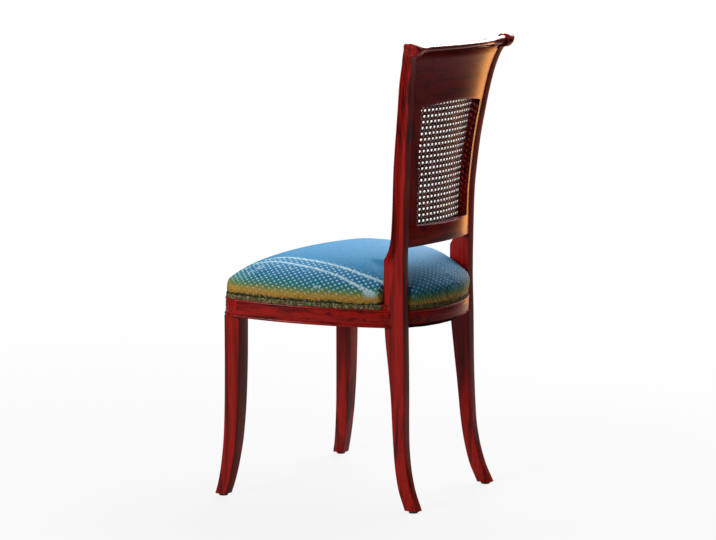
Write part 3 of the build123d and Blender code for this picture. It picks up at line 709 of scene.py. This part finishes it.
# The front legs' blocks carry the same mouldings round the seat's front corners
corner_rings = rail_rings((x > BLOCK_X) & (y < BLOCK_Y), extra=2)
corner_rings[..., 0] = np.maximum(corner_rings[..., 0], BLOCK_X)
corner_rings[..., 1] = np.minimum(corner_rings[..., 1], BLOCK_Y)
for ring in corner_rings:
    for k, (out, high) in enumerate(SHOW_PROFILE):
        if out == -RAIL_THICKNESS:
            ring[k] = on_seat(BLOCK_X, BLOCK_Y, high)
for side, flip in SIDES:
    piece = add_mesh(f"front_leg_{side}_shaped", *joined([front_leg, skin(corner_rings)], flip))
    dress(piece, wood_along[2], "mahogany", f"front_leg_{side}")


def back_y(x, height, inset=0.0):
    """Where the bowed back's rear face lies, less an inset towards the front."""
    inner = stile_centre(height) - STILE_WIDTH / 2
    bow = BACK_BOW * (1 - (x / inner) ** 2)
    return rear_edge(np.minimum(height, STILE_UPRIGHT)) - BACK_SETBACK + bow - inset


def crest_low(x):
    """Height of the crest rail's arched underside."""
    return CREST_BOTTOM + CREST_ARCH * (1 - (x / CREST_HALF) ** 2)


def arc(inset, height, radius, angles):
    """Points of a section round a centre, at angles in degrees."""
    turns = [math.radians(angle) for angle in angles]
    return [(inset + radius * math.cos(a), height + radius * math.sin(a)) for a in turns]


def crest_ring(u):
    """The crest rail's section at a share of its half width: front, rolled top, rear and underside."""
    low = float(crest_low(u * CREST_HALF))
    flare = float(smoothstep(FLARE_START, 1.0, abs(u)))
    radius, inset = ROLL_RADIUS + FLARE_RADIUS * flare, ROLL_INSET - FLARE_OUT * flare
    middle = CREST_TOP - ROLL_RADIUS + FLARE_UP * flare
    shoulder = CREST_TOP - CREST_EDGE
    section = [(BACK_THICKNESS, height) for height in np.linspace(low + CREST_SOFT, shoulder, 22)]
    section += arc(BACK_THICKNESS - CREST_EDGE, shoulder, CREST_EDGE, np.linspace(0, 90, 5)[1:])
    section += arc(inset, middle, radius, np.linspace(90, 262, 13))
    for neck_in, less_in, drop, more_drop in NECK:
        section.append((neck_in - less_in * flare, middle - radius - drop - more_drop * flare))
    section += [(0.0, height) for height in np.linspace(CREST_TOP - NECK_FOOT, low + CREST_SOFT, 22)]
    section += [(0.5, low + 0.4), (CREST_SOFT, low)]
    section += [(BACK_THICKNESS - CREST_SOFT, low), (BACK_THICKNESS - 0.4, low + 0.5)]
    ring = []
    for inset, height in section:
        x = u * float(stile_centre(height) - STILE_WIDTH / 2 + CREST_OVERLAP)
        ring.append((x, float(back_y(x, height)) - inset, height))
    return ring


crest = add_mesh("crest_rail_rolled", *skin([crest_ring(u) for u in np.linspace(-1, 1, 61)]))
dress(crest, crest_wood, "mahogany", "crest_rail")


def lower_rail_ring(u):
    """The lower rail's section at a share of its half width, with softened edges."""
    x, waist = u * RAIL_HALF, RAIL_WAIST * (1 - u * u)
    low, high = RAIL_BOTTOM + waist, RAIL_TOP - waist
    corners = rounded([(0, low), (BACK_THICKNESS, low), (BACK_THICKNESS, high), (0, high)], RAIL_ROUNDING)
    return [(x, float(back_y(x, height)) - inset, height) for inset, height in corners]


lower_rail = add_mesh("lower_back_rail_waisted", *skin([lower_rail_ring(u) for u in np.linspace(-1, 1, 49)]))
dress(lower_rail, wood_along[0], "mahogany", "lower_back_rail")


def member_ring(height):
    """The side member's section at a height, softened on its inner edges."""
    stile = float(stile_centre(height)) - STILE_WIDTH / 2
    inner, outer = stile - MEMBER_WIDTH, stile + MEMBER_OVERLAP
    corners = [(inner, 0), (outer, 0), (outer, BACK_THICKNESS), (inner, BACK_THICKNESS)]
    return [(x, float(back_y(x, height)) - inset, height) for x, inset in rounded(corners, MEMBER_ROUNDING)]


members = skin([member_ring(height) for height in np.linspace(RAIL_TOP - 0.5, CREST_BOTTOM + 3.5, 40)])
for side, flip in SIDES:
    piece = add_mesh(f"back_side_member_{side}_soft", *joined([members], flip))
    dress(piece, wood_along[2], "mahogany", f"back_side_member_{side}")


STRAND_SECTION = np.array([(-1, 0.0), (-0.6, 0.3), (0.6, 0.3), (1, 0.0), (0.6, -0.2), (-0.6, -0.2)])


def strand(start, end, width, lift, phase, wave):
    """A flat strand of cane between two points of the front view, woven up and down by a wave."""
    length = np.linalg.norm(end - start)
    count = max(int(length / CANE_STEP), 2)
    way = (end - start) / length
    share = np.linspace(0, 1, count + 1)[:, None]
    middle = start + (end - start) * share
    up = lift + wave * np.sin(phase + math.pi * 2 * length * share / CANE_PITCH)
    x = middle[:, :1] - way[1] * STRAND_SECTION[:, 0] * width / 2
    z = middle[:, 1:] + way[0] * STRAND_SECTION[:, 0] * width / 2
    return skin(np.stack([x, back_y(x, z) - CANE_SETBACK + up + STRAND_SECTION[:, 1], z], axis=-1))


def clipped(point, way):
    """The ends of the part of a line that lies in the cane's opening, or None."""
    line = np.array(point) + np.arange(-CANE_REACH, CANE_REACH, 1.0)[:, None] * way
    x, z = line.T
    half = stile_centre(z) - STILE_WIDTH / 2 - MEMBER_WIDTH + CANE_EDGE
    inside = line[(z >= RAIL_TOP - CANE_EDGE) & (z <= crest_low(x) + CANE_EDGE) & (np.abs(x) <= half)]
    return (inside[0], inside[-1]) if len(inside) > 4 else None


cane_middle = (RAIL_TOP + CREST_BOTTOM) / 2
strands = []
for i in range(-CANE_COLUMNS, CANE_COLUMNS + 1):
    along, phase = i * CANE_PITCH, math.pi * (i % 2)
    for pair in (-CANE_PAIR, CANE_PAIR):
        strands.append(((along + pair, cane_middle), (0, 1), CANE_WIDTH, 0.1, phase, 0.25))
        strands.append(((0, cane_middle + along + pair), (1, 0), CANE_WIDTH, -0.15, phase, 0.25))
for i in range(-2 * CANE_COLUMNS, 2 * CANE_COLUMNS + 1):
    for slope, lift in ((1, 0.75), (-1, -0.75)):
        way = (math.sqrt(0.5), slope * math.sqrt(0.5))
        strands.append((((i + 0.5) * CANE_PITCH, cane_middle), way, CANE_SLANT_WIDTH, lift, math.pi / 2, 0.3))
weave = []
for point, way, *shape in strands:
    ends = clipped(point, np.array(way))
    if ends:
        weave.append(strand(*ends, *shape))
cane = add_mesh("cane_weave", *joined(weave, False), sharp=60)
dress(cane, cane_finish_with_painted_shade, "cane", "cane_panel")
dress(nodes["cane_spline"], cane_finish_with_painted_shade, "cane")


def cushion_cloth_with_painted_top_light():
    """Ribbed cloth: blue, green and gold at its lower edge, lighter blue at its crown as painted top light,
    with two pale stripes and rows of small dots.
    """
    material, tree, shader, node, calc = new_material("cushion_cloth_with_painted_top_light")
    place = node("ShaderNodeTexCoord").outputs["Object"]
    split = node("ShaderNodeSeparateXYZ", {"Vector": place}).outputs
    x, y, z = calc("ABSOLUTE", split["X"]), split["Y"], split["Z"]

    def times(*sources):
        """The product of two or more links or numbers."""
        product = sources[0]
        for source in sources[1:]:
            product = calc("MULTIPLY", product, source)
        return product

    def fades(value, start, end):
        """Rises from 0 at start to 1 at end."""
        made = node("ShaderNodeMapRange", {"Value": value})
        made.inputs["From Min"].default_value, made.inputs["From Max"].default_value = start, end
        return made.outputs["Result"]

    def noise(scale, detail):
        """Soft random patches."""
        made = node("ShaderNodeTexNoise", {"Vector": place}, Scale=scale, Detail=detail)
        return made.outputs["Fac"]

    def lattice(along, down):
        """Small dots in staggered rows."""
        turn = 2 * math.pi / DOT_PITCH
        return fades(times(*(calc("SINE", times(value, turn)) for value in (along, down))), 0.42, 0.7)

    # How high above the rails, and how far out towards the side, along lines that bend with the seat
    level = calc("SUBTRACT", calc("MULTIPLY_ADD", y, math.tan(SEAT_TILT), z), (SEAT_LOW + RAIL_HEIGHT) * MM)
    rearward = calc("MAXIMUM", calc("SUBTRACT", y, 0.08), 0.0)
    out = calc("MULTIPLY_ADD", times(rearward, rearward), 3.0, calc("MULTIPLY_ADD", times(y, y), 0.3, x))

    # The ground's colours follow the height, less evenly where the wander and the speckle move them; its
    # bands are the cloth's own, but the lighter blue at the crown is painted top light
    speckle = noise(260.0, 2.0)
    loose = calc("MULTIPLY_ADD", noise(14.0, 3.0), 0.012, level)
    loose = calc("MULTIPLY_ADD", speckle, 0.016, calc("SUBTRACT", loose, 0.014))
    side = fades(calc("SUBTRACT", calc("MULTIPLY_ADD", x, 4.0, -0.34), y), -0.01, 0.01)
    rear = calc("SUBTRACT", 1.0, side)
    loose = calc("MULTIPLY_ADD", rear, 0.01, loose)
    ground_with_top_light = ramp(node, fades(loose, -0.01, 0.09), CLOTH_COLOURS_WITH_TOP_LIGHT)

    # Two stripes, worn away in places, at the rear and low down
    stripes = [fades(calc("ABSOLUTE", calc("SUBTRACT", out, middle)), 0.0032, 0.0014) for middle in STRIPES]
    worn = times(fades(speckle, 0.3, 0.5), fades(y, 0.152, 0.14))
    pale = times(calc("MAXIMUM", *stripes), worn, fades(level, 0.01, 0.024))

    # Dots at the side and the rear, fainter low down
    side_dots = lattice(y, calc("MULTIPLY_ADD", x, -0.8, level))
    rear_dots = lattice(x, calc("MULTIPLY_ADD", y, -0.8, level))
    dots = calc("ADD", times(side_dots, side), times(rear_dots, rear))
    edge = calc("MAXIMUM", fades(out, 0.138, 0.152), times(fades(y, 0.165, 0.19), 0.6))
    dots = times(dots, edge, calc("MULTIPLY_ADD", fades(level, 0.012, 0.034), 0.75, 0.12))

    # A few rings between the stripes and the lower edge
    flat = node("ShaderNodeCombineXYZ", {"X": y, "Y": calc("MULTIPLY_ADD", x, -0.8, level)}).outputs[0]
    spots = node("ShaderNodeTexVoronoi", {"Vector": flat}, voronoi_dimensions="2D", Scale=26.0)
    ring = fades(calc("ABSOLUTE", calc("SUBTRACT", spots.outputs["Distance"], 0.17)), 0.05, 0.02)
    band = times(fades(level, 0.024, 0.03), fades(out, 0.18, 0.185), fades(out, 0.212, 0.207))
    ring = times(ring, band, side, 0.75)
    marked = blend(node, "MIX", calc("MAXIMUM", calc("MAXIMUM", dots, ring), pale), ground_with_top_light, CLOTH_PALE)

    # Ribs and grain
    ribs = waves(node, place, "Y", 121.0, Distortion=0.5, Detail=1.0)
    rib_shade = ramp(node, ribs, ((0.1, (0.4, 0.4, 0.4)), (0.6, WHITE)))
    grain = ramp(node, noise(430.0, 1.0), ((0.35, (0.6, 0.66, 0.7)), (0.62, WHITE)))
    colour = blend(node, "MULTIPLY", 0.7, blend(node, "MULTIPLY", 1.0, marked, grain), rib_shade)
    finish(tree, shader, node, colour, calc("ADD", ribs, noise(900.0, 2.0)), 0.35, 0.0005, 0.7)
    shader.inputs["Specular IOR Level"].default_value = 0.2
    return material


level_share, bulge_share, plan_share, corner_share = (
    curve([(i, row[column]) for i, row in enumerate(CUSHION)]) for column in range(4)
)


def cushion_rings():
    """Rings of the cushion's form, from the foot of its skirt to its crown, slightly under size."""
    rings = []
    skirt, _ = seat_outline(-SKIRT_INSET, count=240)
    for height in (SHOW_HEIGHT + 0.2, RAIL_HEIGHT - 5):
        rings.append(on_seat(*skirt.T, height))
    for step in np.linspace(0, len(CUSHION) - 1, 34):
        grow = -SKIRT_INSET + (CUSHION_BULGE - SHRINK + SKIRT_INSET) * float(bulge_share(step))
        ring, _ = seat_outline(grow, float(plan_share(step)), CORNER_GROWTH * float(corner_share(step)), 240)
        level = float(level_share(step))
        slope = math.radians(CUSHION_SLOPE * level)
        height = RAIL_HEIGHT + level * (CUSHION_HEIGHT - SHRINK) + ring[:, 1] * math.sin(slope)
        rings.append(on_seat(ring[:, 0], ring[:, 1] * math.cos(slope), height))
    return rings


def outside_stiles(point, gap):
    """Moves a point out of the space round either stile, the shortest way."""
    x, y = abs(point.x) / MM, point.y / MM
    left, front = STILE_INNER_X - gap, LEG_FRONT_Y - gap
    if x <= left or y <= front:
        return point
    side = math.copysign(1, point.x)
    inner_way, front_way = x - left, y - front
    if y > LEG_REAR_Y + gap or inner_way < front_way:
        return Vector((side * left * MM, point.y, point.z))
    return Vector((point.x, front * MM, point.z))


cushion = add_mesh("seat_cushion", *skin(cushion_rings()), sharp=80)
for sign in (1, -1):
    left, right, front = sign * (STILE_INNER_X - CUSHION_GAP), sign * CUTTER_REACH, LEG_FRONT_Y - CUSHION_GAP
    corners = ((left, front), (right, front), (right, CUTTER_REACH), (left, CUTTER_REACH))
    cutter = add_mesh("cutter", *skin([[(x, y, height) for x, y in corners] for height in CUTTER_HEIGHTS]))
    cut = cushion.modifiers.new("notch", "BOOLEAN")
    cut.operation = "DIFFERENCE"
    cut.object = cutter
    bpy.context.view_layer.objects.active = cushion
    bpy.ops.object.modifier_apply(modifier=cut.name)
    bpy.data.objects.remove(cutter)

remesh = cushion.modifiers.new("remesh", "REMESH")
remesh.mode = "VOXEL"
remesh.voxel_size = VOXEL * MM
bpy.ops.object.modifier_apply(modifier=remesh.name)
before = [v.co.copy() for v in cushion.data.vertices]


def seat_height(point):
    """Height of a point above the rails' underside, in millimetres."""
    return (point.z / MM - SEAT_LOW) * math.cos(SEAT_TILT) + point.y / MM * math.sin(SEAT_TILT)


held = cushion.vertex_groups.new(name="held")
held.add([v.index for v in cushion.data.vertices if seat_height(v.co) < RAIL_HEIGHT + 3], 1.0, "REPLACE")
cloth = cushion.modifiers.new("cloth", "CLOTH")
cloth.settings.quality = 6
cloth.settings.use_pressure = True
cloth.settings.uniform_pressure_force = PRESSURE
cloth.settings.effector_weights.gravity = 0
cloth.settings.vertex_group_mass = held.name
cloth.settings.tension_stiffness = 25
cloth.settings.compression_stiffness = 25
cloth.settings.bending_stiffness = 1.0
cloth.point_cache.frame_start = 1
cloth.point_cache.frame_end = LAST_FRAME
for number in range(1, LAST_FRAME + 1):
    bpy.context.scene.frame_set(number)
bpy.ops.object.modifier_apply(modifier=cloth.name)
bpy.context.scene.frame_set(1)
cushion.vertex_groups.clear()

for vertex, start in zip(cushion.data.vertices, before):
    move = vertex.co - start
    if move.length > CAP * MM:
        move *= CAP * MM / move.length
    share = float(smoothstep(RAIL_HEIGHT, RAIL_HEIGHT + 12, seat_height(start)))
    vertex.co = outside_stiles(start + move * share, CUSHION_GAP)
soften = cushion.modifiers.new("soften", "SMOOTH")
soften.factor = 0.5
soften.iterations = 4
divide = cushion.modifiers.new("divide", "SUBSURF")
divide.levels = divide.render_levels = 1
for name in ("soften", "divide"):
    bpy.ops.object.modifier_apply(modifier=name)
for vertex in cushion.data.vertices:
    vertex.co = outside_stiles(vertex.co, CUSHION_GAP / 2)
cushion.data.shade_smooth()
dress(cushion, cushion_cloth_with_painted_top_light(), "upholstery", "seat_cover", "seat_foam")


def braid_rings(rear):
    """Rings of the braid's rear run, or of its run round the front, with small scallops."""
    path, normals = seat_outline(-BRAID_INSET)
    fine, ways = [], []
    for i in range(len(path)):
        after = (i + 1) % len(path)
        pieces = max(int(round(np.linalg.norm(path[after] - path[i]) / BRAID_STEP)), 1)
        for k in range(pieces):
            fine.append(path[i] + (path[after] - path[i]) * k / pieces)
            ways.append(normals[i] + (normals[after] - normals[i]) * k / pieces)
    fine, ways = np.array(fine), np.array(ways)
    across, back = np.abs(fine[:, 0]), fine[:, 1]
    if rear:
        run = unbroken((across <= STILE_INNER_X - 0.4) & (back > 0))
    else:
        beside = across > STILE_INNER_X - 0.2
        run = unbroken(np.where(beside, back <= LEG_FRONT_Y - 1, back <= 0))
    rings, travelled = [], 0.0
    for n, i in enumerate(run):
        if n:
            travelled += np.linalg.norm(fine[i] - fine[run[n - 1]])
        ring = []
        for part, out in BRAID:
            phase = travelled * math.pi * 2 / SCALLOP + (math.pi if part > 0.5 else 0.0)
            relief = out * (0.74 + 0.26 * math.sin(phase + part * 5)) if out > 1 else out
            point = fine[i] + ways[i] * relief
            ring.append(on_seat(point[0], point[1], SHOW_HEIGHT + 0.1 + BRAID_HEIGHT * part))
        rings.append(ring)
    return np.array(rings)


def braid_material():
    """Olive-brown braid with light ticks across it, painted as highlights."""
    material, tree, shader, node, _ = new_material("braid")
    place = node("ShaderNodeTexCoord").outputs["Object"]
    highlight_ticks = node("ShaderNodeTexNoise", {"Vector": place}, Scale=240.0, Detail=2.0).outputs["Fac"]
    # The pale ticks are painted highlights, scattered by noise
    colour = ramp(node, highlight_ticks, (
        (0.42, (0.03, 0.028, 0.005)), (0.55, (0.1, 0.07, 0.014)), (0.7, (0.3, 0.22, 0.11)),
    ))
    finish(tree, shader, node, colour, highlight_ticks, 0.4, 0.0003, 0.85)
    return material


braid = add_mesh("braid", *joined([skin(braid_rings(False)), skin(braid_rings(True))], False), sharp=70)
dress(braid, braid_material(), "braid", "gimp_braid")

# Pieces that the CAD model shows as they are

for name in ("front_left", "front_right", "rear_left", "rear_right"):
    dress(nodes[f"corner_block_{name}"], block_wood, "blocks")
for name, material, slot in (
    ("corner_block_screws", steel_finish, "screws"),
    ("seat_dowels", block_wood, "blocks"),
    ("back_dowels", block_wood, "blocks"),
    ("seat_webbing", jute_finish, "webbing"),
    ("webbing_tacks", tack_finish, "tacks"),
    ("foot_glides", glide_finish, "glides"),
):
    dress(nodes[name], material, slot)


def tacked_cloth():
    """The dust cover as cloth tacked under the frame: it hangs in the middle and puckers along its edge."""
    cloth = bpy.data.objects.new("dust_cloth", nodes["dust_cover"].data.copy())
    bpy.context.scene.collection.objects.link(cloth)
    low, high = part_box("dust_cover")
    shape = bmesh.new()
    shape.from_mesh(cloth.data)
    step = DUST_CLOTH_STEP * MM
    for axis in (0, 1):
        normal = [float(i == axis) for i in range(3)]
        for place in np.arange(low[axis] + step, high[axis], step):
            whole = shape.verts[:] + shape.edges[:] + shape.faces[:]
            point = [float(place) * n for n in normal]
            bmesh.ops.bisect_plane(shape, geom=whole, plane_co=point, plane_no=normal)
    for vert in shape.verts:
        x, y = (abs(2 * (vert.co[i] - low[i]) / (high[i] - low[i]) - 1) for i in (0, 1))
        inside = (1 - x**2) * (1 - y**2)
        crease = 1 + math.sin(vert.co.x / (PUCKER_SIZE * MM)) * math.sin(vert.co.y / (PUCKER_SIZE * MM))
        vert.co.z -= DUST_CLOTH_SAG * MM * (inside + PUCKER_SHARE * (1 - inside) ** 2 * crease)
    shape.to_mesh(cloth.data)
    shape.free()
    return cloth


dust_cloth = dress(tacked_cloth(), cambric_finish, "dust_cloth", "dust_cover")


def add_floor():
    """A pale floor that keeps the object's shadow, greyer round the chair as a painted soft shadow pool, and
    that the camera sees whiter the further out it is.
    """
    bpy.ops.mesh.primitive_plane_add(size=FLOOR_SIZE, location=(0, 0, 0))
    floor = bpy.context.active_object
    floor.name = "floor"
    material, tree, shader, node, calc = new_material("floor")
    shader.inputs["Base Color"].default_value = (*FLOOR_GREY, 1)
    shader.inputs["Roughness"].default_value = 0.9
    # Less glow near the chair paints a soft grey shadow pool round it, where the real shadow also shows
    away = node("ShaderNodeVectorMath", {0: node("ShaderNodeTexCoord").outputs["Object"]}, operation="LENGTH")
    far = node("ShaderNodeMapRange", {"Value": away.outputs["Value"]})
    for socket, value in zip(("From Min", "From Max", "To Min", "To Max"), (*FLOOR_SHADOW_POOL_FADE, *FLOOR_WHITE_SHARE)):
        far.inputs[socket].default_value = value
    glow = node("ShaderNodeEmission", Color=(*WHITE, 1), Strength=1.0).outputs[0]
    share = calc("MULTIPLY", node("ShaderNodeLightPath").outputs["Is Camera Ray"], far.outputs["Result"])
    pale = node("ShaderNodeMixShader", {0: share, 1: shader.outputs[0], 2: glow})
    tree.links.new(pale.outputs[0], tree.nodes["Material Output"].inputs["Surface"])
    floor.data.materials.append(material)


def add_world():
    """A background that is white to the camera, and dim to everything that it lights."""
    world = bpy.data.worlds.new("studio")
    bpy.context.scene.world = world
    world.use_nodes = True
    tree = world.node_tree
    dim, white = tree.nodes["Background"], tree.nodes.new("ShaderNodeBackground")
    for background, colour, strength in ((dim, SKY_COLOUR, SKY_STRENGTH), (white, WHITE, 1.0)):
        background.inputs["Color"].default_value = (*colour, 1)
        background.inputs["Strength"].default_value = strength
    chosen = tree.nodes.new("ShaderNodeMixShader")
    seen = tree.nodes.new("ShaderNodeLightPath").outputs["Is Camera Ray"]
    for i, source in enumerate((seen, dim.outputs[0], white.outputs[0])):
        tree.links.new(source, chosen.inputs[i])
    tree.links.new(chosen.outputs[0], tree.nodes["World Output"].inputs["Surface"])


def add_lamp(name, place, target, size, power, colour=WHITE):
    """A soft square lamp aimed at a point."""
    data = bpy.data.lights.new(name, "AREA")
    data.shape = "SQUARE"
    data.size = size
    data.energy = power
    data.color = colour
    lamp = bpy.data.objects.new(name, data)
    lamp.location = place
    lamp.rotation_euler = (Vector(target) - Vector(place)).to_track_quat("-Z", "Y").to_euler()
    bpy.context.scene.collection.objects.link(lamp)


def add_camera():
    """The photograph's viewpoint."""
    data = bpy.data.cameras.new("camera")
    data.sensor_width = SENSOR_WIDTH
    data.lens = LENS
    camera = bpy.data.objects.new("camera", data)
    camera.location = CAMERA_PLACE
    camera.rotation_euler = [math.radians(angle) for angle in CAMERA_TURN]
    bpy.context.scene.collection.objects.link(camera)
    bpy.context.scene.camera = camera


add_floor()
add_world()
add_lamp("key", (3.0, -0.8, 2.0), (0, 0, 0.5), 1.2, 105)
add_lamp("side", (-2.6, 0.05, 0.45), (0, 0, 0.7), 0.8, 16, (1.0, 0.42, 0.12))
add_lamp("overhead", (-2.0, -0.3, 2.5), (0, 0, 0.6), 2.2, 190)
add_camera()
bpy.context.scene.view_settings.view_transform = "Standard"
